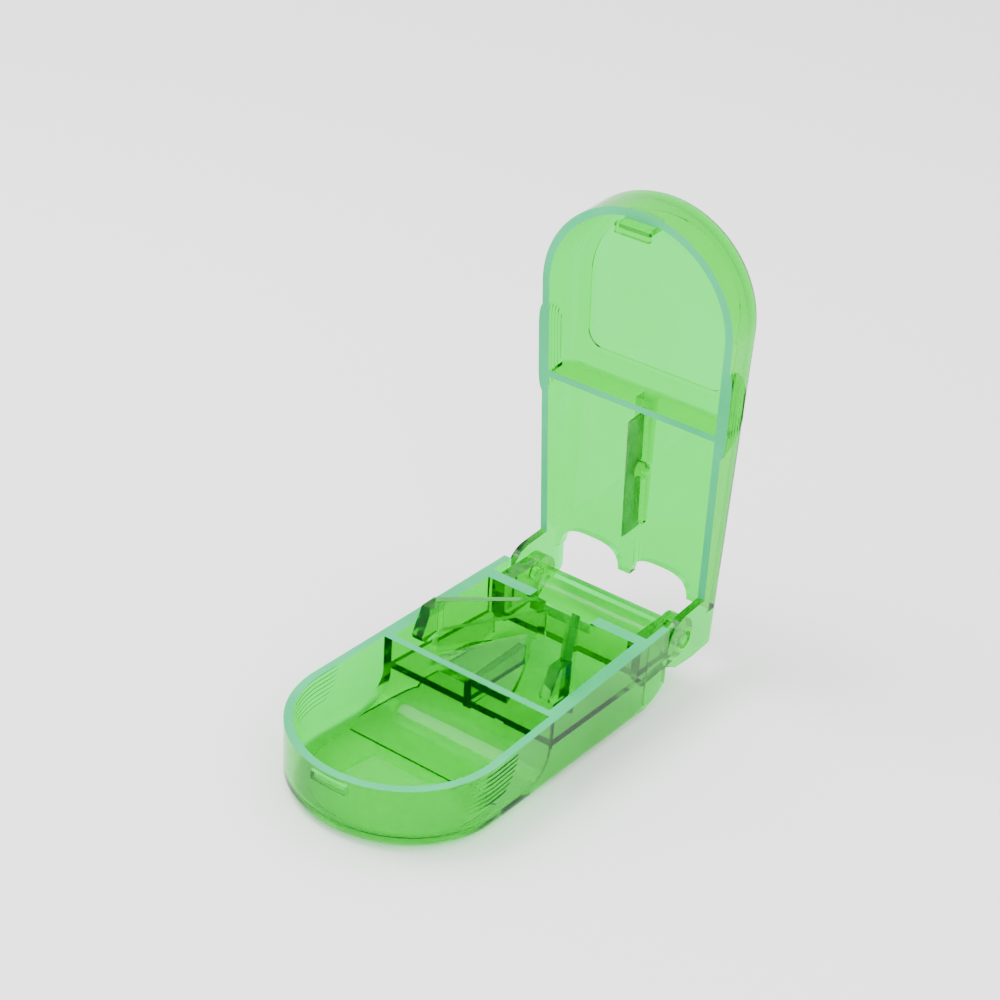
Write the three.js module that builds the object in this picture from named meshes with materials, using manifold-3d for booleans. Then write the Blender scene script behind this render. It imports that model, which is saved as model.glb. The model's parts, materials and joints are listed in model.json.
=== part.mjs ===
import * as THREE from 'three';
import { mergeVertices } from 'three/addons/utils/BufferGeometryUtils.js';
import Module from 'manifold-3d';

// Pill splitter: a wedge-shaped pocket case whose lid carries a blade and swings over a table between two guides.
// Case frame, mm: X across, Y from the nose arc centre toward the hinge, Z up from the rim the two halves meet at.
// The whole case is then tipped so that the underside of the base lies level at Z = 0.

const CASE_WIDTH = 40;
const CASE_TAPER = 1.4;
const REAR_Y = 54.15;
const NOSE_REACH = 19.5;
const BASE_DEPTH = 16.34;
const LID_DEPTH = 6.42;
const CLOSED_HEIGHT = BASE_DEPTH + LID_DEPTH;
const WEDGE = 0.06024;
const EDGE_ROUND = 2.6;

const FRONT_WALL = 1.6;
const REAR_SIDE_WALL = 2.5;
const LID_WALL = 1.5;
const FLOOR = 1.4;
const INNER_ROUND = 1.6;
const GAP = 0.3;

const DIVIDER_FRONT = 16.95;
const DIVIDER_THICK = 1.47;
const SCOOP_REACH = 9;
const SCOOP_HEIGHT = 5.6;
const PLATFORM = 8.74;

const TABLE_DROP = 1.05;
const TABLE_THICK = 1.5;
const TABLE_HALF = 8.6;
const TABLE_APEX = 36.8;
const WEB_WIDTH = 1.6;

const TAIL_AHEAD = 1.31;
const REAR_WALL_AHEAD = 9.31;
const REAR_WALL_FRONT = REAR_Y - REAR_WALL_AHEAD;
const REAR_WALL_THICK = 2.6;
const REAR_NOTCH_HALF = 6.8;
const REAR_NOTCH_DEPTH = 2.4;
const TAIL_END = REAR_Y - TAIL_AHEAD;
const SWEEP_START = REAR_WALL_FRONT - 3.84;
const SWEEP_RISE = 4.6;

const DISH_MARGIN = 4.2;
const DISH_END = 5.5;
const DISH_DEPTH = 0.4;

const PIVOT_BEHIND = 4.71;
const PIVOT_Y = REAR_Y + PIVOT_BEHIND;
const PIVOT_DROP = 5.3;
const PIN_RADIUS = 1.5;
const PIN_BITE = 2.4;
const BAR_RADIUS = 2.7;
const BAR_FIN = 0.7;
const BAR_AHEAD = 1.4;
const BAR_BELOW = 1.5;
const BAR_FLOOR = 1.4;
const LUG_RADIUS = 4;
const LUG_THICK = 2.9;
const LUG_LOW = 10;

const GUIDE_THICK = 1.6;
const GUIDE_FOOT_THICK = 2.5;
const GUIDE_LEDGE_DROP = 1.05;
const GUIDE_SIDE_GAP = 3.9;
const GUIDE_OUTER_X = CASE_WIDTH / 2 - REAR_SIDE_WALL - GUIDE_SIDE_GAP;
const GUIDE_SET = 7.68;
const GUIDE_OUTER_Y = DIVIDER_FRONT + DIVIDER_THICK + GUIDE_SET;
const GUIDE_INNER_X = 2.9;
const GUIDE_INNER_Y = REAR_WALL_FRONT - GAP;
const GUIDE_OUTER_RISE = 4.9;
const GUIDE_INNER_RISE = 0.7;
const HEAD_REACH = 5;
const HEAD_THICK = 2.3;

const CATCH_HALF = 3.6;
const CATCH_DROP = 1.6;
const CATCH_HEIGHT = 1.7;
const CATCH_SKIN = 0.7;
const TAB_SHELF = 2.6;

const OPEN_ANGLE = 86.4;
const EAR_BEHIND = 5.74;
const EAR_REAR = PIVOT_Y + EAR_BEHIND;
const LID_DIVIDER_SET = 1.15;
const LID_DIVIDER_Y = DIVIDER_FRONT + LID_DIVIDER_SET;
const LID_DIVIDER_THICK = 1.3;
const PANEL_SHORT = 0.96;
const PANEL_END = PIVOT_Y - PANEL_SHORT;
const SCALLOP_DEPTH = 4.4;
const SCALLOPS = [[-9.9, 6.7], [5.9, 6.4]];
const PANEL_DISH = 0.5;
const PANEL_DISH_MARGIN = 4.6;
const PANEL_DISH_END = 14.7;

const BLADE_X = 0.5;
const BLADE_THICK = 0.5;
const BLADE_SET = 2.3;
const BLADE_FRONT = LID_DIVIDER_Y + LID_DIVIDER_THICK + BLADE_SET;
const BLADE_LENGTH = 24.5;
const BLADE_HEADROOM = 0.4;
const STAKE_SHARE = 0.48;
const BEVEL_HEIGHT = 1.2;
const HOLDER_EDGE = 3.7;
const HOLDER_WALL = 0.95;
const STAKE_RADIUS = 1.5;

const GRIP_Y = 13.9;
const GRIP_HALF = 9.3;
const GRIP_HEIGHT = 6.4;
const GRIP_BULGE = 0.9;

const HALF = CASE_WIDTH / 2;
const SLOPE = Math.tan(WEDGE);
const FAR = 90;
const BITE = 0.5;
const ARC_STEPS = 36;
const EDGE_STEPS = 4;
const DIVIDER_BACK = DIVIDER_FRONT + DIVIDER_THICK;
const REAR_WALL_BACK = REAR_WALL_FRONT + REAR_WALL_THICK;
const EAR_RADIUS = PIVOT_Y - TAIL_END - GAP;
const HOLE_RADIUS = PIN_RADIUS + GAP;
const BLADE_EDGE = GAP - TABLE_DROP;

const wasm = await Module();
wasm.setup();

const halfWidth = (y) => HALF - CASE_TAPER * Math.max(y, 0) / REAR_Y;
const underside = (y) => (REAR_Y - y) * SLOPE - BASE_DEPTH;
const lidTop = (y) => underside(y) + CLOSED_HEIGHT;
const BLADE_BACK = lidTop(BLADE_FRONT + BLADE_LENGTH) - FLOOR - PANEL_DISH - BLADE_HEADROOM;

// ---- solids ----

function solid(geometry) {
  const bare = geometry.clone();
  bare.deleteAttribute('normal');
  bare.deleteAttribute('uv');
  const joined = mergeVertices(bare, 1e-5);
  const vertProperties = new Float32Array(joined.attributes.position.array);
  const triVerts = new Uint32Array(joined.index.array);
  return new wasm.Manifold(new wasm.Mesh({ numProp: 3, vertProperties, triVerts }));
}

function surface(body) {
  const mesh = body.getMesh();
  const geometry = new THREE.BufferGeometry();
  geometry.setAttribute('position', new THREE.BufferAttribute(new Float32Array(mesh.vertProperties), 3));
  geometry.setIndex(new THREE.BufferAttribute(new Uint32Array(mesh.triVerts), 1));
  const loose = geometry.toNonIndexed();
  loose.computeVertexNormals();
  return loose;
}

function shapeOf(points) {
  return new THREE.Shape(points.map(([x, y]) => new THREE.Vector2(x, y)));
}

// A plan shape raised from one height to another, with an optional rounded edge at both ends.
function raised(points, low, high, round = 0) {
  const geometry = new THREE.ExtrudeGeometry(shapeOf(points), {
    depth: high - low - 2 * round,
    bevelEnabled: round > 0,
    bevelThickness: round,
    bevelSize: round,
    bevelOffset: -round,
    bevelSegments: EDGE_STEPS,
    steps: 1,
  });
  geometry.translate(0, 0, low + round);
  return geometry;
}

// A side profile given as (y, z) pairs, run across the case from one x to another.
function across(points, left, right) {
  const geometry = new THREE.ExtrudeGeometry(shapeOf(points), {
    depth: right - left,
    bevelEnabled: false,
    steps: 1,
  });
  geometry.translate(0, 0, left);
  const turn = new THREE.Matrix4();
  turn.makeBasis(new THREE.Vector3(0, 1, 0), new THREE.Vector3(0, 0, 1), new THREE.Vector3(1, 0, 0));
  geometry.applyMatrix4(turn);
  return geometry;
}

function block(x0, x1, y0, y1, z0, z1) {
  const geometry = new THREE.BoxGeometry(x1 - x0, y1 - y0, z1 - z0);
  geometry.translate((x0 + x1) / 2, (y0 + y1) / 2, (z0 + z1) / 2);
  return geometry;
}

function rod(radius, left, right, y, z) {
  const geometry = new THREE.CylinderGeometry(radius, radius, right - left, 24);
  geometry.rotateZ(Math.PI / 2);
  geometry.translate((left + right) / 2, y, z);
  return geometry;
}

// Heights counted from the sloping underside, or down from the sloping top of the lid, set into the case frame.
function lean(geometry, lift) {
  const shear = new THREE.Matrix4();
  shear.set(1, 0, 0, 0, 0, 1, 0, 0, 0, -SLOPE, 1, REAR_Y * SLOPE + lift, 0, 0, 0, 1);
  return geometry.applyMatrix4(shear);
}

const fromBelow = (geometry) => solid(lean(geometry, -BASE_DEPTH));
const fromAbove = (geometry) => solid(lean(geometry, CLOSED_HEIGHT - BASE_DEPTH));

function minus(body, cuts) {
  return cuts.reduce((left, cut) => left.subtract(cut), body);
}

function plus(body, adds) {
  return adds.reduce((left, add) => left.add(add), body);
}

// The plan of the case, pulled in by a wall: tapering sides and a slightly flattened nose.
function plan(inset, rear) {
  const points = [];
  points.push([halfWidth(rear) - inset, rear]);
  points.push([-halfWidth(rear) + inset, rear]);
  for (let step = 0; step <= ARC_STEPS; step += 1) {
    const angle = Math.PI * step / ARC_STEPS;
    points.push([-(HALF - inset) * Math.cos(angle), -(NOSE_REACH - inset) * Math.sin(angle)]);
  }
  return points;
}

function arc(y, z, ry, rz, from, to, steps) {
  const points = [];
  for (let step = 0; step <= steps; step += 1) {
    const angle = from + (to - from) * step / steps;
    points.push([y + ry * Math.cos(angle), z + rz * Math.sin(angle)]);
  }
  return points;
}

// ---- base ----

function scoop(thick) {
  const y = DIVIDER_FRONT - SCOOP_REACH;
  const z = FLOOR + SCOOP_HEIGHT;
  return arc(y, z, SCOOP_REACH + thick, SCOOP_HEIGHT + thick, -Math.PI / 2, 0, 10);
}

function frontPocket() {
  const side = [[-FAR, FLOOR], ...scoop(0), [DIVIDER_FRONT, FAR], [-FAR, FAR]];
  const width = fromBelow(raised(plan(FRONT_WALL, FAR), FLOOR, FAR, INNER_ROUND));
  return fromBelow(across(side, -FAR, FAR)).intersect(width);
}

function rearPocket() {
  const width = fromBelow(raised(plan(REAR_SIDE_WALL, FAR), PLATFORM, FAR));
  return width.intersect(solid(block(-FAR, FAR, DIVIDER_BACK, REAR_WALL_FRONT, -FAR, FAR)));
}

function hollowBelow() {
  const top = PLATFORM - FLOOR;
  const front = scoop(FLOOR);
  const last = front[front.length - 1];
  const side = [[front[0][0], -BITE], ...front, [last[0], top], [FAR, top], [FAR, -BITE]];
  const width = fromBelow(raised(plan(REAR_SIDE_WALL, FAR), -1, FAR));
  return fromBelow(across(side, -FAR, FAR)).intersect(width);
}

function behindRearWall() {
  const width = solid(raised(plan(FRONT_WALL, FAR), -FAR, FAR));
  return width.intersect(solid(block(-FAR, FAR, REAR_WALL_BACK, FAR, -FAR, FAR)));
}

function heelSweep() {
  const length = TAIL_END - SWEEP_START;
  const rise = [];
  for (let step = 0; step <= 8; step += 1) {
    const share = step / 8;
    rise.push([SWEEP_START + length * share, SWEEP_RISE * share ** 1.6]);
  }
  return fromBelow(across([[SWEEP_START, -FAR], [FAR, -FAR], [FAR, SWEEP_RISE], ...rise.reverse()], -FAR, FAR));
}

function pillTable() {
  const left = [];
  const right = [];
  for (let step = 0; step <= 12; step += 1) {
    const share = step / 12;
    const x = TABLE_HALF * (1 - share) * (1 + 0.35 * share);
    const y = DIVIDER_BACK - BITE + (TABLE_APEX - DIVIDER_BACK + BITE) * share;
    right.push([x, y]);
    left.unshift([-x, y]);
  }
  const outline = [...right, ...left.slice(1)];
  const plate = solid(raised(outline, -TABLE_DROP - TABLE_THICK, -TABLE_DROP));
  const low = underside(TABLE_APEX) + PLATFORM - FLOOR / 2;
  const web = block(
    -WEB_WIDTH / 2,
    WEB_WIDTH / 2,
    DIVIDER_BACK - BITE,
    TABLE_APEX - 3,
    low,
    -TABLE_DROP - TABLE_THICK / 2,
  );
  return plate.add(solid(web));
}

function lug(side) {
  const inner = halfWidth(PIVOT_Y) - LID_WALL - GAP - LUG_THICK;
  const wall = REAR_WALL_BACK - BITE;
  const profile = [
    [wall, -LUG_LOW],
    [PIVOT_Y - LUG_RADIUS / 2, -LUG_LOW + BITE],
    ...arc(PIVOT_Y, -PIVOT_DROP, LUG_RADIUS, LUG_RADIUS, -1.9, 1.9, 16),
    [wall, -PIVOT_DROP + LUG_RADIUS],
  ];
  const outer = inner + LUG_THICK;
  const [left, right] = side > 0 ? [inner, outer] : [-outer, -inner];
  return solid(across(profile, left, right));
}

function pinHole(side) {
  const outer = halfWidth(PIVOT_Y) - LID_WALL - GAP;
  const [left, right] = side > 0 ? [outer - PIN_BITE, FAR] : [-FAR, -outer + PIN_BITE];
  return solid(rod(HOLE_RADIUS, left, right, PIVOT_Y, -PIVOT_DROP));
}

function hingeBar() {
  const reach = halfWidth(PIVOT_Y) - LID_WALL - GAP - LUG_THICK + BITE;
  const y = PIVOT_Y - BAR_AHEAD;
  const z = -PIVOT_DROP - BAR_BELOW;
  const bar = solid(rod(BAR_RADIUS, -reach, reach, y, z));
  const fin = block(-reach, reach, y + BAR_RADIUS - 1.4, y + BAR_RADIUS, z, z + BAR_RADIUS + BAR_FIN);
  const shelf = fromBelow(block(-reach, reach, REAR_WALL_BACK - BITE, y, PLATFORM - BAR_FLOOR, PLATFORM));
  return bar.add(solid(fin)).add(shelf);
}

function baseTray() {
  const outer = fromBelow(raised(plan(0, FAR), 0, FAR, EDGE_ROUND));
  const room = solid(block(-FAR, FAR, -FAR, TAIL_END, -FAR, 0));
  const notch = solid(block(-REAR_NOTCH_HALF, REAR_NOTCH_HALF, REAR_WALL_FRONT - 1, FAR, -REAR_NOTCH_DEPTH, FAR));
  const skinFace = CATCH_SKIN - NOSE_REACH;
  const pocket = block(-CATCH_HALF, CATCH_HALF, skinFace, 0, -CATCH_DROP - CATCH_HEIGHT, -CATCH_DROP);
  const hollow = fromBelow(raised(plan(DISH_MARGIN, DISH_END), -1, DISH_DEPTH));
  const shell = minus(outer.intersect(room), [
    frontPocket(),
    rearPocket(),
    hollowBelow(),
    behindRearWall(),
    heelSweep(),
    notch,
    solid(pocket),
    hollow,
  ]);
  const table = pillTable().intersect(solid(block(-FAR, FAR, DIVIDER_FRONT + BITE, FAR, -FAR, 0)));
  const whole = plus(shell, [table, lug(-1), lug(1), hingeBar()]);
  return minus(whole, [pinHole(-1), pinHole(1)]);
}

// ---- pill guides ----

function armPlan(thick, inward) {
  const run = Math.hypot(GUIDE_OUTER_X - GUIDE_INNER_X, GUIDE_INNER_Y - GUIDE_OUTER_Y);
  const ax = (GUIDE_INNER_Y - GUIDE_OUTER_Y) / run;
  const ay = (GUIDE_OUTER_X - GUIDE_INNER_X) / run;
  const start = [GUIDE_OUTER_X - ax * inward, GUIDE_OUTER_Y - ay * inward];
  const end = [GUIDE_INNER_X - ax * inward, GUIDE_INNER_Y - ay * inward];
  return [start, [start[0] + ax * thick, start[1] + ay * thick], [end[0] + ax * thick, end[1] + ay * thick], end];
}

function pillGuide(side) {
  const upper = solid(raised(armPlan(GUIDE_THICK, 0), -FAR, GUIDE_OUTER_RISE));
  const top = across(
    [
      [GUIDE_OUTER_Y - HEAD_REACH, -FAR],
      [FAR, -FAR],
      [FAR, GUIDE_INNER_RISE],
      [GUIDE_INNER_Y, GUIDE_INNER_RISE],
      [GUIDE_OUTER_Y, GUIDE_OUTER_RISE],
      [GUIDE_OUTER_Y - HEAD_REACH, GUIDE_OUTER_RISE],
    ],
    -FAR,
    FAR,
  );
  const extra = GUIDE_FOOT_THICK - GUIDE_THICK;
  const lower = solid(raised(armPlan(GUIDE_FOOT_THICK, extra), -FAR, -GUIDE_LEDGE_DROP));
  const ground = fromBelow(raised(plan(REAR_SIDE_WALL + GAP, FAR), PLATFORM + GAP, FAR));
  const behind = solid(block(-FAR, FAR, -FAR, GUIDE_INNER_Y, -FAR, FAR));
  const head = across(
    [
      [GUIDE_OUTER_Y + 1, -GUIDE_LEDGE_DROP - 1],
      [GUIDE_OUTER_Y + 1, GUIDE_OUTER_RISE - 0.3],
      [GUIDE_OUTER_Y - HEAD_REACH / 2, GUIDE_OUTER_RISE - 0.3],
      [GUIDE_OUTER_Y - HEAD_REACH, -0.2],
      [GUIDE_OUTER_Y - HEAD_REACH + 0.3, -GUIDE_LEDGE_DROP],
      [GUIDE_OUTER_Y - HEAD_REACH + 1.3, -GUIDE_LEDGE_DROP - 0.8],
    ].reverse(),
    GUIDE_OUTER_X - HEAD_THICK / 3,
    GUIDE_OUTER_X + HEAD_THICK * 2 / 3,
  );
  const body = upper.intersect(solid(top)).add(lower).add(solid(head)).intersect(ground).intersect(behind);
  return side > 0 ? body : body.mirror([1, 0, 0]);
}

// ---- hinge pins ----

function hingePin(side) {
  const outer = halfWidth(PIVOT_Y) - LID_WALL - GAP;
  const inner = outer - PIN_BITE + GAP;
  const face = halfWidth(PIVOT_Y) - GAP;
  const length = face - inner;
  const profile = [
    [0, 0],
    [PIN_RADIUS - GAP, 0],
    [PIN_RADIUS, GAP],
    [PIN_RADIUS, length - GAP],
    [PIN_RADIUS - GAP, length],
    [0, length],
  ].map(([x, y]) => new THREE.Vector2(x, y));
  const geometry = new THREE.LatheGeometry(profile, 24);
  geometry.rotateZ(-side * Math.PI / 2);
  geometry.translate(side * inner, 0, 0);
  return solid(geometry);
}

// ---- lid, drawn closed ----

function earPlate(side) {
  const profile = [
    [TAIL_END + GAP, GAP],
    [TAIL_END + GAP, -PIVOT_DROP],
    ...arc(PIVOT_Y, -PIVOT_DROP, EAR_RADIUS, EAR_RADIUS, Math.PI, Math.PI * 1.5, 8).slice(1),
    [PIVOT_Y + EAR_RADIUS / 2, -PIVOT_DROP - EAR_RADIUS],
    [EAR_REAR - 0.8, -PIVOT_DROP - 2.5],
    [EAR_REAR, -PIVOT_DROP + 3],
    [EAR_REAR, lidTop(EAR_REAR) - 2],
    [EAR_REAR - 2, lidTop(EAR_REAR)],
    [REAR_WALL_BACK, FAR],
    [REAR_WALL_BACK, GAP],
  ];
  const [left, right] = side > 0 ? [0, FAR] : [-FAR, 0];
  return solid(across(profile, left, right));
}

function scallop(centre, half) {
  const depth = SCALLOP_DEPTH + BITE;
  const points = [];
  for (let step = 0; step <= 20; step += 1) {
    const share = -1 + step / 10;
    points.push([centre + half * share, PANEL_END + BITE - depth * (1 - Math.abs(share) ** 3.2) ** (1 / 2.4)]);
  }
  return solid(raised(points, -FAR, FAR));
}

function dish() {
  const inner = plan(PANEL_DISH_MARGIN, PANEL_DISH_END);
  return fromAbove(raised(inner, -PANEL_DISH, FAR));
}

function holder() {
  const half = BLADE_THICK / 2 + GAP;
  const back = BLADE_FRONT + BLADE_LENGTH - 1;
  const start = LID_DIVIDER_Y + LID_DIVIDER_THICK / 2;
  const profile = [[start, HOLDER_EDGE], [back, HOLDER_EDGE], [back, FAR], [start, FAR]];
  const wide = solid(across(profile, BLADE_X - half - HOLDER_WALL, BLADE_X + half + HOLDER_WALL));
  const slot = block(BLADE_X - half, BLADE_X + half, BLADE_FRONT - GAP, FAR, -FAR, BLADE_BACK + GAP);
  const seat = rod(STAKE_RADIUS + GAP, -FAR, FAR, BLADE_FRONT + BLADE_LENGTH * STAKE_SHARE, HOLDER_EDGE);
  return minus(wide, [solid(slot), solid(seat)]);
}

function snapTab() {
  const front = -(NOSE_REACH - FRONT_WALL) + GAP + 0.2;
  const low = -CATCH_DROP - CATCH_HEIGHT + 0.8;
  const neck = block(-CATCH_HALF + 0.4, CATCH_HALF - 0.4, front, front + 1.2, low + 0.3, TAB_SHELF);
  const root = block(-CATCH_HALF + 0.4, CATCH_HALF - 0.4, front - 1.4, front + 1.2, GAP, TAB_SHELF);
  const shelf = block(-CATCH_HALF, CATCH_HALF, front, front + TAB_SHELF - 0.6, low + 0.3, low + 1.3);
  return solid(neck).add(solid(root)).add(solid(shelf));
}

function lidGrip(side) {
  const oval = arc(GRIP_Y, GAP, GRIP_HALF, GRIP_HEIGHT, 0, Math.PI, 16);
  const face = halfWidth(GRIP_Y) + GRIP_BULGE;
  const [left, right] = side > 0 ? [face - 2, face] : [-face, -face + 2];
  return solid(across(oval, left, right));
}

function lidShell() {
  const outer = fromAbove(raised(plan(0, FAR), -FAR, 0, EDGE_ROUND));
  const inside = fromAbove(raised(plan(LID_WALL, FAR), -FAR, -FLOOR - PANEL_DISH, INNER_ROUND));
  const cover = outer.intersect(solid(block(-FAR, FAR, -FAR, PANEL_END, GAP, FAR)));
  const grips = plus(cover, [lidGrip(-1), lidGrip(1)]);
  const ears = outer.intersect(plus(earPlate(-1), [earPlate(1)]));
  const open = minus(grips.add(ears), [
    inside,
    solid(block(-halfWidth(FAR) + LID_WALL, halfWidth(FAR) - LID_WALL, PANEL_END, FAR, -FAR, FAR)),
  ]);
  const rearGap = solid(raised(plan(LID_WALL, FAR), -FAR, FAR)).intersect(
    solid(block(-FAR, FAR, PANEL_END, FAR, -FAR, FAR)),
  );
  const wall = block(-FAR, FAR, LID_DIVIDER_Y, LID_DIVIDER_Y + LID_DIVIDER_THICK, GAP, FAR);
  const fitted = plus(solid(wall), [holder()]).intersect(fromAbove(raised(plan(LID_WALL / 2, FAR), -FAR, -FLOOR)));
  const whole = plus(open, [fitted, snapTab()]);
  const holes = rod(HOLE_RADIUS, -FAR, FAR, PIVOT_Y, -PIVOT_DROP);
  const bites = SCALLOPS.map(([centre, half]) => scallop(centre, half));
  return minus(whole, [rearGap, ...bites, dish(), solid(holes)]);
}

// ---- blade ----

function cuttingBlade() {
  const half = BLADE_THICK / 2;
  const blank = shapeOf([
    [-half, BLADE_BACK],
    [-half, BLADE_EDGE + BEVEL_HEIGHT],
    [-half / 5, BLADE_EDGE],
    [half / 5, BLADE_EDGE],
    [half, BLADE_EDGE + BEVEL_HEIGHT],
    [half, BLADE_BACK],
  ]);
  const geometry = new THREE.ExtrudeGeometry(blank, { depth: BLADE_LENGTH, bevelEnabled: false });
  geometry.rotateX(Math.PI / 2);
  geometry.translate(BLADE_X, BLADE_FRONT + BLADE_LENGTH, 0);
  const y = BLADE_FRONT + BLADE_LENGTH * STAKE_SHARE;
  const reach = STAKE_RADIUS + GAP;
  const round = rod(reach, -FAR, FAR, y, HOLDER_EDGE);
  const mouth = block(-FAR, FAR, y - reach, y + reach, HOLDER_EDGE, FAR);
  return minus(solid(geometry), [solid(round), solid(mouth)]);
}

function bladeStake() {
  const half = BLADE_THICK / 2 + GAP + HOLDER_WALL;
  const y = BLADE_FRONT + BLADE_LENGTH * STAKE_SHARE;
  return solid(rod(STAKE_RADIUS, BLADE_X - half, BLADE_X + half, y, HOLDER_EDGE));
}

// ---- assembly ----

const CLEAR_GREEN = { color: 0x35e062, roughness: 0.12, metalness: 0 };
const BLADE_STEEL = { color: 0xb9bdb8, roughness: 0.28, metalness: 1 };

function piece(name, body, finish) {
  const mesh = new THREE.Mesh(surface(body), new THREE.MeshStandardMaterial(finish));
  mesh.name = name;
  return mesh;
}

function onPivot(mesh) {
  mesh.position.set(0, -PIVOT_Y, PIVOT_DROP);
  return mesh;
}

const splitter = new THREE.Group();
splitter.name = 'pill_splitter';

const base = new THREE.Group();
base.name = 'base';
base.rotation.x = WEDGE;
base.add(piece('base_tray', baseTray(), CLEAR_GREEN));
base.add(piece('pill_guide_left', pillGuide(-1), CLEAR_GREEN));
base.add(piece('pill_guide_right', pillGuide(1), CLEAR_GREEN));
for (const [name, side] of [['hinge_pin_left', -1], ['hinge_pin_right', 1]]) {
  const pin = piece(name, hingePin(side), CLEAR_GREEN);
  pin.position.set(0, PIVOT_Y, -PIVOT_DROP);
  base.add(pin);
}

const lid = new THREE.Group();
lid.name = 'lid';
lid.position.set(0, PIVOT_Y, -PIVOT_DROP);
lid.rotation.x = -THREE.MathUtils.degToRad(OPEN_ANGLE);
lid.add(onPivot(piece('lid_shell', lidShell(), CLEAR_GREEN)));
lid.add(onPivot(piece('cutting_blade', cuttingBlade(), BLADE_STEEL)));
lid.add(onPivot(piece('blade_stake', bladeStake(), CLEAR_GREEN)));
base.add(lid);

splitter.add(base);

// The origin lies under the middle of the open case, on the plane its underside rests on.
splitter.updateMatrixWorld(true);
const extent = new THREE.Box3().setFromObject(base, true);
base.position.set(0, -(extent.min.y + extent.max.y) / 2, -extent.min.z);

export default splitter;
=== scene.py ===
import json
import math

import bmesh
import bpy
import numpy as np
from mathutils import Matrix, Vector


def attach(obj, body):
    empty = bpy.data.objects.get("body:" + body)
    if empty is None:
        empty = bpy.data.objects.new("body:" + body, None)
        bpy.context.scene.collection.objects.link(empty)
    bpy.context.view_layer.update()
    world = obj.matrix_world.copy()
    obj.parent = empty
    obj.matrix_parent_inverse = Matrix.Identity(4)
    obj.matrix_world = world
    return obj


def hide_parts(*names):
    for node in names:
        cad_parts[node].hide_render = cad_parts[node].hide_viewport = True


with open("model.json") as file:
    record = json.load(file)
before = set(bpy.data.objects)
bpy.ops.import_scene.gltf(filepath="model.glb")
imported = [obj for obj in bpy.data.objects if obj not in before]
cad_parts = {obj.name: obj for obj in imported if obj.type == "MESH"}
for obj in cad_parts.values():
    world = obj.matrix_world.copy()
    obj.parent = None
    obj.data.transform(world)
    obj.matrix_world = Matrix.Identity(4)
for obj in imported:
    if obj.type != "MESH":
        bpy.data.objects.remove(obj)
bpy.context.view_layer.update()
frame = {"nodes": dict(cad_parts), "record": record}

# Case frame, mm: X across, Y from the nose arc centre toward the hinge, Z up from the rim.
HALF = 20.0
TAPER = 1.4
REAR_Y = 54.15
NOSE = 19.5
BASE_DEPTH = 16.34
CLOSED = 22.76
WEDGE = 0.06024
SLOPE = math.tan(WEDGE)
PIVOT_Y = 58.86
PIVOT_DROP = 5.3
OPEN = math.radians(86.4)
FRONT_WALL = 1.55
SIDE_WALL = 2.5
LID_WALL = 1.5
FLOOR = 1.4
PLATFORM = 8.74
DIVIDER = (16.95, 18.42)
REAR_WALL = (44.84, 47.44)
TAIL_END = 52.84
EAR_FRONT = TAIL_END + 0.3
EAR_RADIUS = PIVOT_Y - EAR_FRONT
FAR = 90.0
BITE = 0.5
GAP = 0.3
EDGE_ROUND = 2.6
INNER_ROUND = 1.6
ROD_POINTS = 48

SCOOP_REACH = 9.0
SCOOP_HEIGHT = 5.6
HEEL_START = 41.0
HEEL_RISE = 4.6
REAR_NOTCH_HALF = 6.8
REAR_NOTCH_DEPTH = 2.4
CATCH_HALF = 3.6
CATCH_SPAN = (-3.3, -1.6)
TABLE_HALF = 8.6
TABLE_APEX = 36.8
TABLE_SPAN = (-2.55, -1.05)
WEB_HALF = 0.8
RIB_ROWS = 7
RIB_PITCH = 0.95
RIB_CENTRE = -1.6

PIN_BORE = 1.8
PIN_BITE = 2.4
LUG_THICK = 2.9
LUG_RADIUS = 4.0
BAR_RADIUS = 2.7
BAR_AHEAD = 1.4
BAR_BELOW = 1.5

LID_DIVIDER = (18.1, 19.4)
PANEL_END = 57.9
DISH_CORNER = 3.2
DISH_DEPTH = 0.5
GRIP_CENTRE = 13.9
GRIP_HALF = 9.3
GRIP_HEIGHT = 6.4
TAB_FRONT = -17.4
TAB_BACK = -16.2
TAB_LOW = -2.2

GUIDE_OUTER = (13.6, 26.1)
GUIDE_INNER = (2.9, 44.54)
GUIDE_THICK = 1.6
GUIDE_FOOT = -0.9
GUIDE_RISE = (4.9, 0.7)

BLADE_X = 0.5
BLADE_ENDS = (21.7, 46.2)
BLADE_BACK = 4.6
HOLDER_EDGE = 3.7
STAKE_Y = 21.7 + 24.5 * 0.48
STAKE_BORE = 1.8

# Faces this near the parting plane (mm), and this square to it, take the rim surface, which is painted
# light.
RIM_BAND = 0.5
RIM_SQUARE = 0.75
CRISP_ANGLE = math.radians(32)
HINGE = np.array(frame["record"]["behaviour"]["joints"][0]["pos_m"]) * 1000.0


# ---- placing ----

def tilt_matrix(angle):
    c, s = math.cos(angle), math.sin(angle)
    return np.array([[1, 0, 0], [0, c, -s], [0, s, c]])


def seat_base(v):
    """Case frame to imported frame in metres: the offset from the pivot, turned by the wedge angle
    and set on the hinge."""
    off = v - np.array([0, PIVOT_Y, -PIVOT_DROP])
    return (off @ tilt_matrix(WEDGE).T + HINGE) / 1000.0


def seat_lid(v):
    """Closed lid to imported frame: the offset from the pivot is first turned back by the open
    angle, then seated like the base."""
    off = v - np.array([0, PIVOT_Y, -PIVOT_DROP])
    turned = off @ tilt_matrix(-OPEN).T
    return (turned @ tilt_matrix(WEDGE).T + HINGE) / 1000.0


def underside(y):
    """Height of the sloping underside: it falls by the wedge slope from the nose to the rear."""
    return (REAR_Y - y) * SLOPE - BASE_DEPTH


def lid_top(y):
    """Height of the lid panel's outer face, parallel to the underside."""
    return underside(y) + CLOSED


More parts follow.
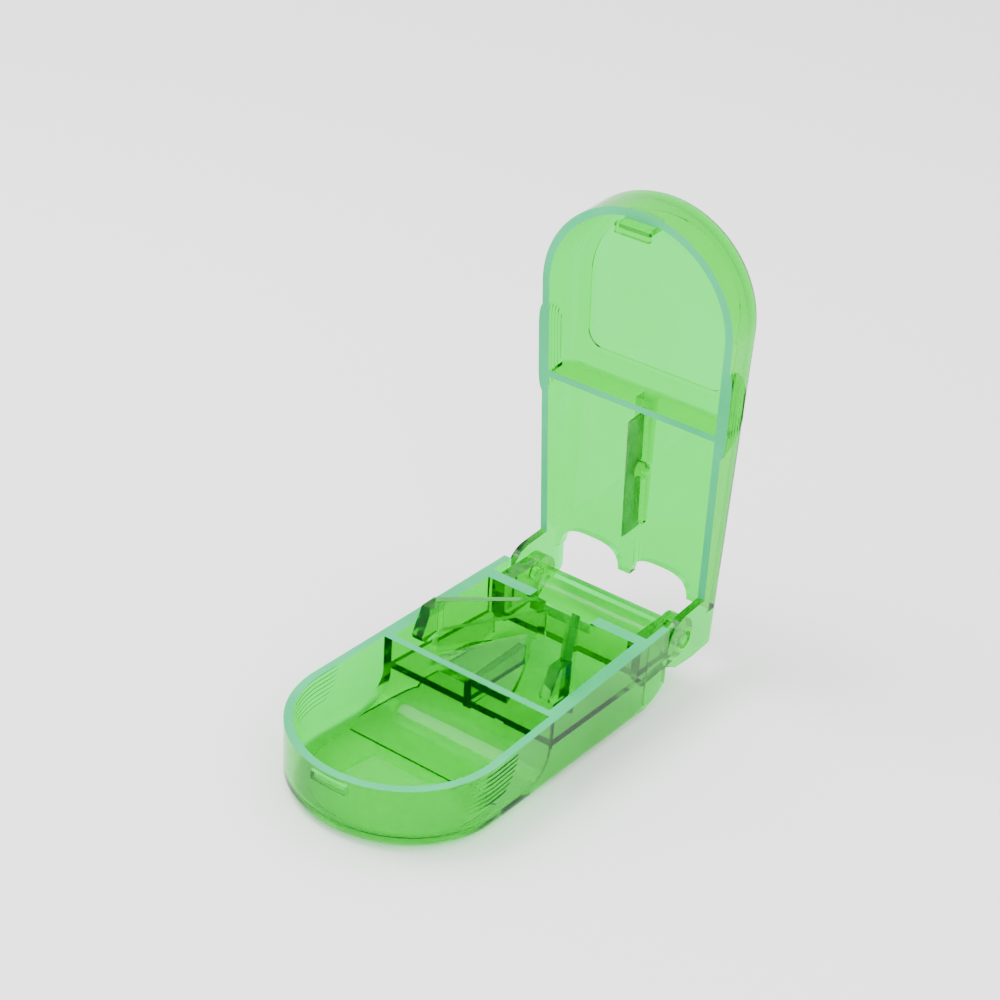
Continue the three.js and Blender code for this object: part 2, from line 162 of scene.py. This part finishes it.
def half_width(y):
    """Half the width at y: full to the nose arc's centre, then tapering in a straight line."""
    return HALF - TAPER * np.maximum(y, 0) / REAR_Y


# ---- solids as rings of points ----

def skin(rings):
    """Closed body through a stack of rings, shape (rings, points, 3): quads between neighbours
    and one cap at each end."""
    r, n = rings.shape[:2]
    i = np.arange(r - 1)[:, None] * n
    j = np.arange(n)[None, :]
    k = (j + 1) % n
    quads = np.stack([i + j, i + k, i + n + k, i + n + j], axis=-1).reshape(-1, 4)
    faces = quads.tolist() + [list(range(n))[::-1], list(range((r - 1) * n, r * n))]
    return rings.reshape(-1, 3), faces


def plan(inset, rear, steps=96):
    """Case plan pulled in by a wall: straight tapering sides and a half ellipse nose, counter-clockwise."""
    a = np.linspace(math.pi, 2 * math.pi, steps + 1)
    nose = np.stack([(HALF - inset) * np.cos(a), (NOSE - inset) * np.sin(a)], axis=1)
    w = half_width(rear) - inset
    return np.vstack([nose, [[w, rear], [-w, rear]]])


def stack(outline, levels, lean=0.0, lift=0.0):
    """Rings of outline(inset) at each (inset, height) level, every ring sheared by -slope*y so
    that it follows the wedge."""
    rings = []
    for inset, z in levels:
        p = outline(inset)
        rings.append(np.column_stack([p, z + lift + lean * (REAR_Y - p[:, 1]) * SLOPE]))
    return skin(np.array(rings))


def rounded(low, high, round_low=0.0, round_high=0.0, steps=7):
    """(inset, height) pairs of a wall with quarter-circle edges: inset r(1-sin a) and height
    r(1-cos a) from the end."""
    a = np.linspace(0, math.pi / 2, steps)
    levels = []
    if round_low:
        levels += [(round_low * (1 - math.sin(t)), low + round_low * (1 - math.cos(t))) for t in a]
    else:
        levels += [(0.0, low)]
    if round_high:
        levels += [(round_high * (1 - math.sin(t)), high - round_high * (1 - math.cos(t))) for t in a[::-1]]
    else:
        levels += [(0.0, high)]
    return levels


def from_below(inset, low, high, rear=FAR, round_low=0.0):
    """Case plan raised between two heights measured from the sloping underside."""
    return stack(lambda d: plan(inset + d, rear), rounded(low, high, round_low), 1.0, -BASE_DEPTH)


def from_above(inset, low, high, rear=FAR, round_high=0.0):
    """Case plan raised between two heights measured from the lid panel's outer face."""
    levels = rounded(low, high, 0.0, round_high)
    return stack(lambda d: plan(inset + d, rear), levels, 1.0, CLOSED - BASE_DEPTH)


def across(profile, left, right, lean=0.0, lift=0.0):
    """A side profile of (y, z) points carried straight across from one x to another, sheared
    when lean is 1."""
    p = np.array(profile, dtype=float)
    z = p[:, 1] + lift + lean * (REAR_Y - p[:, 0]) * SLOPE
    rings = [np.column_stack([np.full(len(p), x), p[:, 0], z]) for x in (left, right)]
    return skin(np.array(rings))


def upright(outline, low, high):
    """A plan outline of (x, y) points raised from one height to another."""
    p = np.array(outline, dtype=float)
    rings = [np.column_stack([p, np.full(len(p), z)]) for z in (low, high)]
    return skin(np.array(rings))


def block(x0, x1, y0, y1, z0, z1):
    """A square-edged bar between the given limits, used to cut and to build up."""
    return upright([[x0, y0], [x1, y0], [x1, y1], [x0, y1]], z0, z1)


def arc(y, z, ry, rz, start, end, steps=24):
    """Points of an ellipse arc in the side view, from one angle to another."""
    a = np.linspace(start, end, steps)
    return np.column_stack([y + ry * np.cos(a), z + rz * np.sin(a)]).tolist()


def rod(radius, left, right, y, z):
    """A round bar along x: the same circle of points at each end."""
    a = np.linspace(0, 2 * math.pi, ROD_POINTS, endpoint=False)
    circle = [y + radius * np.cos(a), z + radius * np.sin(a)]
    rings = [np.column_stack([np.full(ROD_POINTS, x), *circle]) for x in (left, right)]
    return skin(np.array(rings))


def wall_groove(side, depth_from_rim, y0, y1, radius=0.34):
    """A thin round tube whose centre line follows the outer plan at one height, from y0 to y1."""
    t = np.linspace(y0, y1, 40)
    nose = HALF * np.sqrt(np.maximum(1 - (np.minimum(t, 0) / NOSE) ** 2, 0))
    x = np.where(t < 0, nose, half_width(t)) + 0.08
    a = np.linspace(0, 2 * math.pi, 10, endpoint=False)
    slim = np.sqrt(np.maximum(1 - np.linspace(-1, 1, 40) ** 8, 0.02))
    ring = [
        np.column_stack([side * (x[i] + radius * slim[i] * np.cos(a)), np.full(10, t[i]),
                         depth_from_rim + radius * slim[i] * np.sin(a)])
        for i in range(40)
    ]
    return skin(np.array(ring))


# ---- joining and cutting ----

def mesh_object(name, body):
    """A scene object from a (points, faces) pair, its faces turned outwards."""
    verts, faces = body
    mesh = bpy.data.meshes.new(name)
    mesh.from_pydata(verts.tolist(), [], faces)
    mesh.update()
    obj = bpy.data.objects.new(name, mesh)
    bpy.context.scene.collection.objects.link(obj)
    recalc_outward(mesh)
    return obj


def recalc_outward(mesh):
    """Turns every face outwards."""
    bm = bmesh.new()
    bm.from_mesh(mesh)
    bmesh.ops.recalc_face_normals(bm, faces=bm.faces)
    bm.to_mesh(mesh)
    bm.free()


def moulded(name, start, steps, seat, edge=0.13, flip=False):
    """Starts from one closed body and adds or cuts the others in turn, then rounds the sharp edges."""
    whole = mesh_object(name, start)
    tools = []
    for how, body in steps:
        tool = mesh_object(name + "_tool", body)
        m = whole.modifiers.new("join", "BOOLEAN")
        m.operation = how
        m.solver = "MANIFOLD"
        m.object = tool
        tools.append(tool)
    mesh = evaluated(whole)
    for tool in tools:
        bpy.data.objects.remove(tool)
    whole.modifiers.clear()
    old = whole.data
    whole.data = mesh
    bpy.data.meshes.remove(old)
    tidy_edges(whole, edge)
    # Rim faces get the slot of the painted rim light.
    mark_rim_painted_light(whole.data)
    v = np.empty(len(whole.data.vertices) * 3)
    whole.data.vertices.foreach_get("co", v)
    whole.data.vertices.foreach_set("co", seat(v.reshape(-1, 3)).ravel())
    if flip:
        whole.data.flip_normals()
    whole.data.update()
    soften(whole)
    return whole


def mark_rim_painted_light(mesh):
    """Faces that lie on the parting plane, where the two halves meet, go to the second slot. The teal
    surface there is painted light: it stands in for light piped along the wall that leaves at its end."""
    for p in mesh.polygons:
        if abs(p.center.z) < RIM_BAND and abs(p.normal.z) > RIM_SQUARE:
            p.material_index = 1


def evaluated(obj):
    """The mesh that the object's modifiers give."""
    bpy.context.view_layer.update()
    deps = bpy.context.evaluated_depsgraph_get()
    return bpy.data.meshes.new_from_object(obj.evaluated_get(deps))


def tidy_edges(obj, edge):
    """Merges doubles, joins flat faces, then breaks the sharp edges with a small round."""
    bm = bmesh.new()
    bm.from_mesh(obj.data)
    bmesh.ops.remove_doubles(bm, verts=bm.verts, dist=0.002)
    bmesh.ops.dissolve_limit(bm, angle_limit=math.radians(0.6), verts=bm.verts, edges=bm.edges)
    bm.to_mesh(obj.data)
    bm.free()
    if edge:
        b = obj.modifiers.new("edge", "BEVEL")
        b.width = edge
        b.segments = 2
        b.limit_method = "ANGLE"
        b.angle_limit = math.radians(38)
        b.use_clamp_overlap = True
        old = obj.data
        obj.data = evaluated(obj)
        obj.modifiers.clear()
        bpy.data.meshes.remove(old)


def soften(obj):
    """Smooth faces, sharp edges kept crisp; corner normals follow the larger faces."""
    for p in obj.data.polygons:
        p.use_smooth = True
    obj.data.set_sharp_from_angle(angle=CRISP_ANGLE)
    w = obj.modifiers.new("weights", "WEIGHTED_NORMAL")
    w.mode = "FACE_AREA"
    w.weight = 100
    w.keep_sharp = True
    old = obj.data
    obj.data = evaluated(obj)
    obj.modifiers.clear()
    bpy.data.meshes.remove(old)


# ---- base ----

def scoop(thick):
    """Quarter ellipse from the well's floor up to the divider, pushed out by a wall."""
    return arc(DIVIDER[0] - SCOOP_REACH, FLOOR + SCOOP_HEIGHT,
               SCOOP_REACH + thick, SCOOP_HEIGHT + thick, -math.pi / 2, 0, 28)


def meet(name, a, b):
    """The points and faces of the body that two closed bodies share."""
    one, two = mesh_object(name, a), mesh_object(name, b)
    m = one.modifiers.new("meet", "BOOLEAN")
    m.operation = "INTERSECT"
    m.solver = "MANIFOLD"
    m.object = two
    mesh = evaluated(one)
    verts = np.empty(len(mesh.vertices) * 3)
    mesh.vertices.foreach_get("co", verts)
    faces = [list(p.vertices) for p in mesh.polygons]
    bpy.data.objects.remove(one)
    bpy.data.objects.remove(two)
    return verts.reshape(-1, 3), faces


def lug(side):
    """Hinge lug: a side profile ending in a round nose about the pin, one wall thick."""
    inner = half_width(PIVOT_Y) - LID_WALL - GAP - LUG_THICK
    profile = [[REAR_WALL[1] - BITE, -10.0], [PIVOT_Y - 2.0, -9.5]]
    profile += arc(PIVOT_Y, -PIVOT_DROP, LUG_RADIUS, LUG_RADIUS, -1.9, 1.9, 24)
    profile += [[REAR_WALL[1] - BITE, -PIVOT_DROP + LUG_RADIUS]]
    return across(profile, *((inner, inner + LUG_THICK) if side > 0 else (-inner - LUG_THICK, -inner)))


def table_outline():
    """Pill table: half width h(1-t)(1+0.35t) shrinking to a point between divider and apex."""
    t = np.linspace(0, 1, 24)
    x = TABLE_HALF * (1 - t) * (1 + 0.35 * t)
    y = DIVIDER[1] - BITE + (TABLE_APEX - DIVIDER[1] + BITE) * t
    right = np.column_stack([x, y])
    left = np.column_stack([-x[::-1], y[::-1]])
    return np.vstack([right, left[1:]])


def tray():
    """Base tray: the case plan hollowed front and rear, with table, web, lugs, bar and ribs."""
    front_side = [[-FAR, FLOOR]] + scoop(0.0) + [[DIVIDER[0], FAR], [-FAR, FAR]]
    front = meet("front", from_below(FRONT_WALL, FLOOR, FAR, FAR, INNER_ROUND),
                 across(front_side, -FAR, FAR, 1.0, -BASE_DEPTH))
    under_arc = scoop(FLOOR)
    top = PLATFORM - FLOOR
    under_side = [[under_arc[0][0], -3.0]] + under_arc
    under_side += [[under_arc[-1][0], top], [FAR, top], [FAR, -3.0]]
    under = meet("under", from_below(SIDE_WALL, -2.0, FAR),
                 across(under_side, -FAR, FAR, 1.0, -BASE_DEPTH))
    rear = meet("rear", from_below(SIDE_WALL, PLATFORM, FAR),
                block(-FAR, FAR, DIVIDER[1], REAR_WALL[0], -FAR, FAR))
    behind = meet("behind", from_below(FRONT_WALL, -30, FAR),
                  block(-FAR, FAR, REAR_WALL[1], FAR, -FAR, FAR))
    t = np.linspace(0, 1, 20)
    sweep = np.column_stack([HEEL_START + (TAIL_END - HEEL_START) * t, HEEL_RISE * t ** 1.6]).tolist()
    heel_side = [[HEEL_START, -FAR]] + sweep + [[FAR, HEEL_RISE], [FAR, -FAR]]
    heel = across(heel_side, -FAR, FAR, 1.0, -BASE_DEPTH)
    reach = half_width(PIVOT_Y) - LID_WALL - GAP - PIN_BITE
    bar_y, bar_z = PIVOT_Y - BAR_AHEAD, -PIVOT_DROP - BAR_BELOW
    steps = [
        ("INTERSECT", block(-FAR, FAR, -FAR, TAIL_END, -FAR, 0)),
        ("DIFFERENCE", front),
        ("DIFFERENCE", under),
        ("DIFFERENCE", rear),
        ("DIFFERENCE", behind),
        ("DIFFERENCE", heel),
        ("DIFFERENCE", block(-REAR_NOTCH_HALF, REAR_NOTCH_HALF, REAR_WALL[0] - 1, FAR,
                             -REAR_NOTCH_DEPTH, FAR)),
        ("DIFFERENCE", block(-CATCH_HALF, CATCH_HALF, -18.8, 0, *CATCH_SPAN)),
        ("DIFFERENCE", from_below(4.2, -3.0, 0.4, 5.5)),
        ("UNION", upright(table_outline(), *TABLE_SPAN)),
        ("UNION", block(-WEB_HALF, WEB_HALF, DIVIDER[1] - BITE, 33.8,
                        underside(TABLE_APEX) + PLATFORM - 0.7, -1.8)),
        ("UNION", lug(-1)),
        ("UNION", lug(1)),
        ("UNION", rod(BAR_RADIUS, -reach, reach, bar_y, bar_z)),
        ("UNION", block(-reach, reach, bar_y + 1.3, bar_y + BAR_RADIUS, bar_z, bar_z + 3.4)),
        ("UNION", from_below_box(-reach, reach, REAR_WALL[1] - BITE, bar_y, PLATFORM - FLOOR, PLATFORM)),
        ("UNION", gate_nub()),
        ("DIFFERENCE", rod(PIN_BORE, reach, FAR, PIVOT_Y, -PIVOT_DROP)),
        ("DIFFERENCE", rod(PIN_BORE, -FAR, -reach, PIVOT_Y, -PIVOT_DROP)),
    ]
    for side in (-1, 1):
        for row in range(RIB_ROWS):
            z = -0.8 - RIB_PITCH * row
            span = 7.9 * math.sqrt(1 - (row / 7.6) ** 2)
            steps.append(("DIFFERENCE", wall_groove(side, z, RIB_CENTRE - span, RIB_CENTRE + span)))
    return moulded("tray_moulding", from_below(0.0, 0.0, 40.0, FAR, EDGE_ROUND), steps, seat_base)


def gate_nub():
    """The snapped-off gate on the divider: a low stub along y with a cone end, its radius r
    multiplied by 1 + 0.14 sin 5a + 0.1 sin(9a + 1)."""
    a = np.linspace(0, 2 * math.pi, 28, endpoint=False)
    ragged = 1.0 + 0.14 * np.sin(5 * a) + 0.1 * np.sin(9 * a + 1.0)
    z = underside(DIVIDER[0]) + 7.5
    front = DIVIDER[0]
    stops = [(front + 0.5, 1.1), (front - 0.12, 1.25), (front - 0.35, 0.9), (front - 0.5, 0.45)]
    rings = [
        np.column_stack([8.0 + r * ragged * np.sin(a), np.full(28, y), z + r * ragged * np.cos(a)])
        for y, r in stops
    ]
    return skin(np.array(rings))


def from_below_box(x0, x1, y0, y1, s0, s1):
    """A bar whose heights are measured from the sloping underside."""
    return across([[y0, s0], [y1, s0], [y1, s1], [y0, s1]], x0, x1, 1.0, -BASE_DEPTH)


# ---- lid ----

def grip_pad(side):
    """A half-oval pad on the side wall, fading to nothing at the oval's edge and rippled by
    seven rows of ribs (a cosine of height)."""
    u = np.linspace(-1, 1, 61)[None, :]
    v = np.linspace(0, 1, 43)[:, None]
    y = GRIP_CENTRE + GRIP_HALF * u * np.sqrt(1 - v ** 2 * 0.999)
    z = GAP + GRIP_HEIGHT * v + 0 * u
    edge = np.clip((1 - np.abs(u) ** 6) * (1 - v ** 8), 0, 1) ** 0.5
    x = half_width(y) - 0.7 + edge * (1.25 + 0.22 * np.cos(v * 2 * math.pi * RIB_ROWS))
    outer = np.stack([x, y, z], axis=-1)
    inner = np.stack([half_width(y) - 1.2 + 0 * x, y, z], axis=-1)
    r, n = x.shape
    verts = np.vstack([outer.reshape(-1, 3), inner.reshape(-1, 3)])
    i = np.arange(r - 1)[:, None] * n
    j = np.arange(n - 1)[None, :]
    q = np.stack([i + j, i + j + 1, i + n + j + 1, i + n + j], axis=-1).reshape(-1, 4)
    border = np.concatenate([np.arange(n), np.arange(1, r) * n + n - 1,
                             (r - 1) * n + np.arange(n - 1)[::-1], np.arange(r - 1)[::-1][:-1] * n])
    nxt = np.roll(border, -1)
    off = r * n
    rim = np.stack([border, nxt, nxt + off, border + off], axis=-1)
    verts[:, 0] *= side
    return verts, q.tolist() + (q[:, ::-1] + off).tolist() + rim.tolist()


def scallop(centre, half):
    """A finger bite in the panel's end: depth times (1-|t|^3.2)^(1/2.4) across its width, which
    gives a flat top with round corners."""
    t = np.sin(np.linspace(-math.pi / 2, math.pi / 2, 61))
    y = 58.4 - 4.9 * np.maximum(1 - np.abs(t) ** 3.2, 0) ** (1 / 2.4)
    return upright(np.column_stack([centre + half * t, y]), -FAR, FAR)


def dish():
    """The shallow dish in the lid's outer face: the case plan pulled in, its rear corners round."""
    outline = plan(4.6, 14.7)
    levels = [(0, -DISH_DEPTH), (0, 20.0)]
    return stack(lambda d: rounded_corners(outline, DISH_CORNER), levels, 1.0, CLOSED - BASE_DEPTH)


def rounded_corners(p, r):
    """Swaps an outline's two rear corners for quarter circles of the given radius."""
    w, rear = p[-2][0], p[-2][1]
    a = np.linspace(0, math.pi / 2, 9)
    right = np.column_stack([w - r + r * np.cos(a), rear - r + r * np.sin(a)])
    left = np.column_stack([-w + r - r * np.sin(a), rear - r + r * np.cos(a)])
    return np.vstack([p[:-2], right, left])


def lid():
    """Lid shell, drawn closed: hollowed panel with divider, blade holder, tab, grips and ears."""
    inside = from_above(LID_WALL, -FAR, -FLOOR - DISH_DEPTH, FAR, INNER_ROUND)
    behind = meet("behind", from_above(LID_WALL, -FAR, 30),
                  block(-FAR, FAR, PANEL_END, FAR, -FAR, FAR))
    wall = meet("wall", from_above(0.7, -FAR, -FLOOR), block(-FAR, FAR, *LID_DIVIDER, GAP, FAR))
    hold = meet("hold", from_above(0.7, -FAR, -FLOOR),
                block(BLADE_X - 1.5, BLADE_X + 1.5, 18.7, 45.2, HOLDER_EDGE, FAR))
    body = meet("body", from_above(0.0, -60, 0.0, FAR, EDGE_ROUND),
                across(ear_and_cover(), -FAR, FAR))
    steps = [
        ("DIFFERENCE", inside),
        ("DIFFERENCE", behind),
        ("UNION", grip_pad(-1)),
        ("UNION", grip_pad(1)),
        ("UNION", wall),
        ("UNION", hold),
        ("DIFFERENCE", block(BLADE_X - 0.55, BLADE_X + 0.55, 21.4, FAR, -FAR, BLADE_BACK + GAP)),
        ("DIFFERENCE", rod(STAKE_BORE, -8, 8, STAKE_Y, HOLDER_EDGE)),
        ("UNION", block(-3.2, 3.2, TAB_FRONT, TAB_BACK, TAB_LOW, 2.6)),
        ("UNION", block(-3.2, 3.2, -18.8, TAB_BACK, GAP, 2.6)),
        ("UNION", block(-CATCH_HALF, CATCH_HALF, TAB_FRONT, -15.4, TAB_LOW, -1.2)),
        ("DIFFERENCE", scallop(-9.9, 6.7)),
        ("DIFFERENCE", scallop(5.9, 6.4)),
        ("DIFFERENCE", dish()),
        ("DIFFERENCE", rod(PIN_BORE, -FAR, FAR, PIVOT_Y, -PIVOT_DROP)),
    ]
    return moulded("lid_moulding", body, steps, seat_lid)


def ear_and_cover():
    """Side profile of the lid: flat rim, quarter-round hinge ear, rounded rear corner, open top."""
    profile = [[-FAR, GAP], [EAR_FRONT, GAP], [EAR_FRONT, -PIVOT_DROP]]
    profile += arc(PIVOT_Y, -PIVOT_DROP, EAR_RADIUS, EAR_RADIUS, math.pi, math.pi * 1.5, 20)[1:]
    profile += [[PIVOT_Y + 2.84, -PIVOT_DROP - EAR_RADIUS], [63.8, -PIVOT_DROP - 2.5]]
    profile += [[64.6, -PIVOT_DROP + 3.0]]
    profile += arc(62.0, lid_top(62.0) - EDGE_ROUND, EDGE_ROUND, EDGE_ROUND, 0, math.pi / 2, 8)
    return profile + [[50.0, 12.0], [-FAR, 30.0]]


# ---- guides, blade, pins ----

def guide(side):
    """Pill guide: a straight arm between two plan points, sloping down, with a thicker head."""
    outer, inner = np.array(GUIDE_OUTER), np.array(GUIDE_INNER)
    along = (inner - outer) / np.linalg.norm(inner - outer)
    out = np.array([along[1], -along[0]])

    def arm(t0, t1, low, high):
        p = [outer + out * t0, outer + out * t1, inner + out * t1, inner + out * t0]
        return upright(p, low, high)

    high, low = GUIDE_RISE
    ground = from_below(SIDE_WALL + GAP, PLATFORM + GAP, FAR)
    top = across([[15.0, -FAR], [FAR, -FAR], [FAR, low], [inner[1], low], [outer[1], high],
                  [15.0, high]], -FAR, FAR)
    head = across([[27.1, -2.0], [27.1, 4.6], [23.6, 4.6], [21.1, -0.2], [21.3, -1.05],
                   [22.4, -1.8]], 12.83, 15.13)
    steps = [
        ("INTERSECT", top),
        ("UNION", arm(GUIDE_FOOT, GUIDE_THICK, -FAR, -1.05)),
        ("INTERSECT", ground),
        ("INTERSECT", block(-FAR, FAR, -FAR, inner[1], -FAR, FAR)),
        ("UNION", head),
    ]
    name = "guide_right" if side > 0 else "guide_left"
    return moulded(name, arm(0.0, GUIDE_THICK, -30, 5.2), steps,
                   lambda v: seat_base(v * np.array([side, 1, 1])), 0.2, side < 0)


def blade():
    """Blade: a strip section with a ground edge carried along y, notched for the stake."""
    profile = np.array([[-0.25, BLADE_BACK], [-0.25, 0.45], [-0.05, -0.75], [0.05, -0.75],
                        [0.25, 0.45], [0.25, BLADE_BACK]])
    y = np.linspace(*BLADE_ENDS, 60)
    x, z = profile[:, 0] + BLADE_X, profile[:, 1]
    rings = np.array([np.column_stack([x, np.full(len(x), t), z]) for t in y])
    steps = [
        ("DIFFERENCE", rod(STAKE_BORE, -8, 8, STAKE_Y, HOLDER_EDGE)),
        ("DIFFERENCE", block(-8, 8, STAKE_Y - STAKE_BORE, STAKE_Y + STAKE_BORE, HOLDER_EDGE, FAR)),
    ]
    return moulded("ground_blade", skin(rings), steps, seat_lid, 0.0)


# ---- materials ----

GREEN_LOW = (0.01, 0.95, 0.16)
GREEN_HIGH = (0.02, 0.99, 0.20)
# Painted light: teal colours for the rim faces, standing in for light piped along the walls that leaves at
# their end faces.
RIM_PAINTED_LIGHT_LOW = (0.004, 0.42, 0.15)
RIM_PAINTED_LIGHT_HIGH = (0.008, 0.50, 0.19)
TINT = (0.0, 0.92, 0.60)


def nodes_of(mat):
    """A material's node tree with its surface shader and its output."""
    mat.use_nodes = True
    tree = mat.node_tree
    return tree, tree.nodes["Principled BSDF"], tree.nodes["Material Output"]


def noise(tree, scale, detail, stretch=(1, 1, 1)):
    """Noise read in the piece's own coordinates, stretched along its axes."""
    place = tree.nodes.new("ShaderNodeTexCoord")
    grid = tree.nodes.new("ShaderNodeMapping")
    grid.inputs["Scale"].default_value = stretch
    tex = tree.nodes.new("ShaderNodeTexNoise")
    tex.inputs["Scale"].default_value = scale
    tex.inputs["Detail"].default_value = detail
    tree.links.new(place.outputs["Object"], grid.inputs["Vector"])
    tree.links.new(grid.outputs["Vector"], tex.inputs["Vector"])
    return tex


def ramp(tree, source, low, high, start=0.35, end=0.65):
    """Turns noise into a run between two colours."""
    r = tree.nodes.new("ShaderNodeValToRGB")
    r.color_ramp.elements[0].position = start
    r.color_ramp.elements[1].position = end
    r.color_ramp.elements[0].color = (*low, 1)
    r.color_ramp.elements[1].color = (*high, 1)
    tree.links.new(source.outputs["Fac"], r.inputs["Fac"])
    return r


def clear_styrene(name, density, tint, through=0.985, low=GREEN_LOW, high=GREEN_HIGH):
    """Glossy see-through styrene: faint flow marks and hairline wear in the surface, and most
    of its colour from depth."""
    mat = bpy.data.materials.new(name)
    tree, bsdf, out = nodes_of(mat)
    bsdf.inputs["Transmission Weight"].default_value = through
    bsdf.inputs["IOR"].default_value = 1.22
    bsdf.inputs["Specular IOR Level"].default_value = 0.2
    flow = noise(tree, 55, 3, (1, 1, 1))
    base = ramp(tree, flow, low, high)
    tree.links.new(base.outputs["Color"], bsdf.inputs["Base Color"])
    wear = noise(tree, 900, 5, (1, 0.18, 1))
    rough = ramp(tree, wear, (0.02,) * 3, (0.07,) * 3, 0.4, 0.75)
    tree.links.new(rough.outputs["Color"], bsdf.inputs["Roughness"])
    bump = tree.nodes.new("ShaderNodeBump")
    bump.inputs["Strength"].default_value = 0.05
    bump.inputs["Distance"].default_value = 0.0004
    tree.links.new(flow.outputs["Fac"], bump.inputs["Height"])
    tree.links.new(bump.outputs["Normal"], bsdf.inputs["Normal"])
    depth = tree.nodes.new("ShaderNodeVolumeAbsorption")
    depth.inputs["Color"].default_value = (*tint, 1)
    depth.inputs["Density"].default_value = density
    tree.links.new(depth.outputs["Volume"], out.inputs["Volume"])
    return mat


def ground_steel(name):
    """Strip steel with fine grinding lines across its face and small oil stains in its roughness."""
    mat = bpy.data.materials.new(name)
    tree, bsdf, _ = nodes_of(mat)
    bsdf.inputs["Metallic"].default_value = 1.0
    bsdf.inputs["Anisotropic"].default_value = 0.4
    grind = noise(tree, 2600, 4, (1, 1, 0.03))
    stain = noise(tree, 160, 3)
    colour = ramp(tree, stain, (0.26, 0.27, 0.19), (0.40, 0.42, 0.31))
    tree.links.new(colour.outputs["Color"], bsdf.inputs["Base Color"])
    rough = ramp(tree, grind, (0.24,) * 3, (0.42,) * 3)
    tree.links.new(rough.outputs["Color"], bsdf.inputs["Roughness"])
    bump = tree.nodes.new("ShaderNodeBump")
    bump.inputs["Strength"].default_value = 0.12
    bump.inputs["Distance"].default_value = 0.0001
    tree.links.new(grind.outputs["Fac"], bump.inputs["Height"])
    tree.links.new(bump.outputs["Normal"], bsdf.inputs["Normal"])
    return mat


def dress(obj, *mats):
    """Gives a piece its materials. Clearing them resets every face's slot, so the slots are
    read first and put back."""
    slots = [p.material_index for p in obj.data.polygons]
    obj.data.materials.clear()
    for mat in mats:
        obj.data.materials.append(mat)
    for p, slot in zip(obj.data.polygons, slots):
        p.material_index = min(slot, len(mats) - 1)


def fit(obj, mats, body, node):
    """Dresses a piece, rides it on its body and lets it stand for its CAD node."""
    dress(obj, *mats)
    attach(obj, body)
    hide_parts(node)
    return obj


# ---- studio ----

def studio():
    """A pale floor, an even white surround and two soft lamps."""
    world = bpy.data.worlds.new("studio")
    bpy.context.scene.world = world
    world.use_nodes = True
    back = world.node_tree.nodes["Background"]
    back.inputs["Color"].default_value = (1, 1, 1, 1)
    back.inputs["Strength"].default_value = 2.2
    mesh = bpy.data.meshes.new("floor")
    s = 3.0
    mesh.from_pydata([(-s, -s, 0), (s, -s, 0), (s, s, 0), (-s, s, 0)], [], [(0, 1, 2, 3)])
    floor = bpy.data.objects.new("floor", mesh)
    floor.location.z = -0.0002
    bpy.context.scene.collection.objects.link(floor)
    mat = bpy.data.materials.new("pale_floor")
    _, bsdf, _ = nodes_of(mat)
    bsdf.inputs["Base Color"].default_value = (0.93, 0.93, 0.93, 1)
    bsdf.inputs["Roughness"].default_value = 0.7
    dress(floor, mat)
    for name, place, size, power in (
        ("key", (-0.25, -0.15, 0.55), 0.30, 3.5),
        ("fill", (0.45, -0.35, 0.40), 0.40, 1.2),
    ):
        light = bpy.data.lights.new(name, "AREA")
        light.size = size
        light.energy = power
        lamp = bpy.data.objects.new(name, light)
        lamp.location = place
        aim = np.array([0.0, 0.0, 0.02]) - np.array(place)
        lamp.rotation_euler = Vector(aim).to_track_quat("-Z", "Y").to_euler()
        bpy.context.scene.collection.objects.link(lamp)


def camera():
    """The view from the front right, a little above the open case."""
    data = bpy.data.cameras.new("camera")
    data.sensor_width = 36
    data.lens = 81.82
    cam = bpy.data.objects.new("camera", data)
    cam.location = (0.189966, -0.281564, 0.222399)
    cam.rotation_euler = (1.08716862, -0.09241704, 0.64769726)
    data.clip_start = 0.01
    data.clip_end = 20
    bpy.context.scene.collection.objects.link(cam)
    bpy.context.scene.camera = cam


tray_green = clear_styrene("tray_styrene", 1300.0, TINT)
lid_green = clear_styrene("lid_styrene", 1300.0, TINT)
small_green = clear_styrene("stud_styrene", 1700.0, TINT)
# Painted light: near-opaque teal on the rim faces in place of light piped through the walls and leaving at
# their ends.
rim_painted_light = clear_styrene("rim_painted_light_styrene", 1500.0, TINT, 0.08, RIM_PAINTED_LIGHT_LOW, RIM_PAINTED_LIGHT_HIGH)
steel = ground_steel("blade_strip_steel")

fit(tray(), (tray_green, rim_painted_light), "base", "base_tray")
fit(lid(), (lid_green, rim_painted_light), "lid", "lid_shell")
fit(guide(-1), (tray_green,), "base", "pill_guide_left")
fit(guide(1), (tray_green,), "base", "pill_guide_right")
fit(blade(), (steel,), "lid", "cutting_blade")
for node in ("hinge_pin_left", "hinge_pin_right", "blade_stake"):
    dress(frame["nodes"][node], small_green)

studio()
camera()
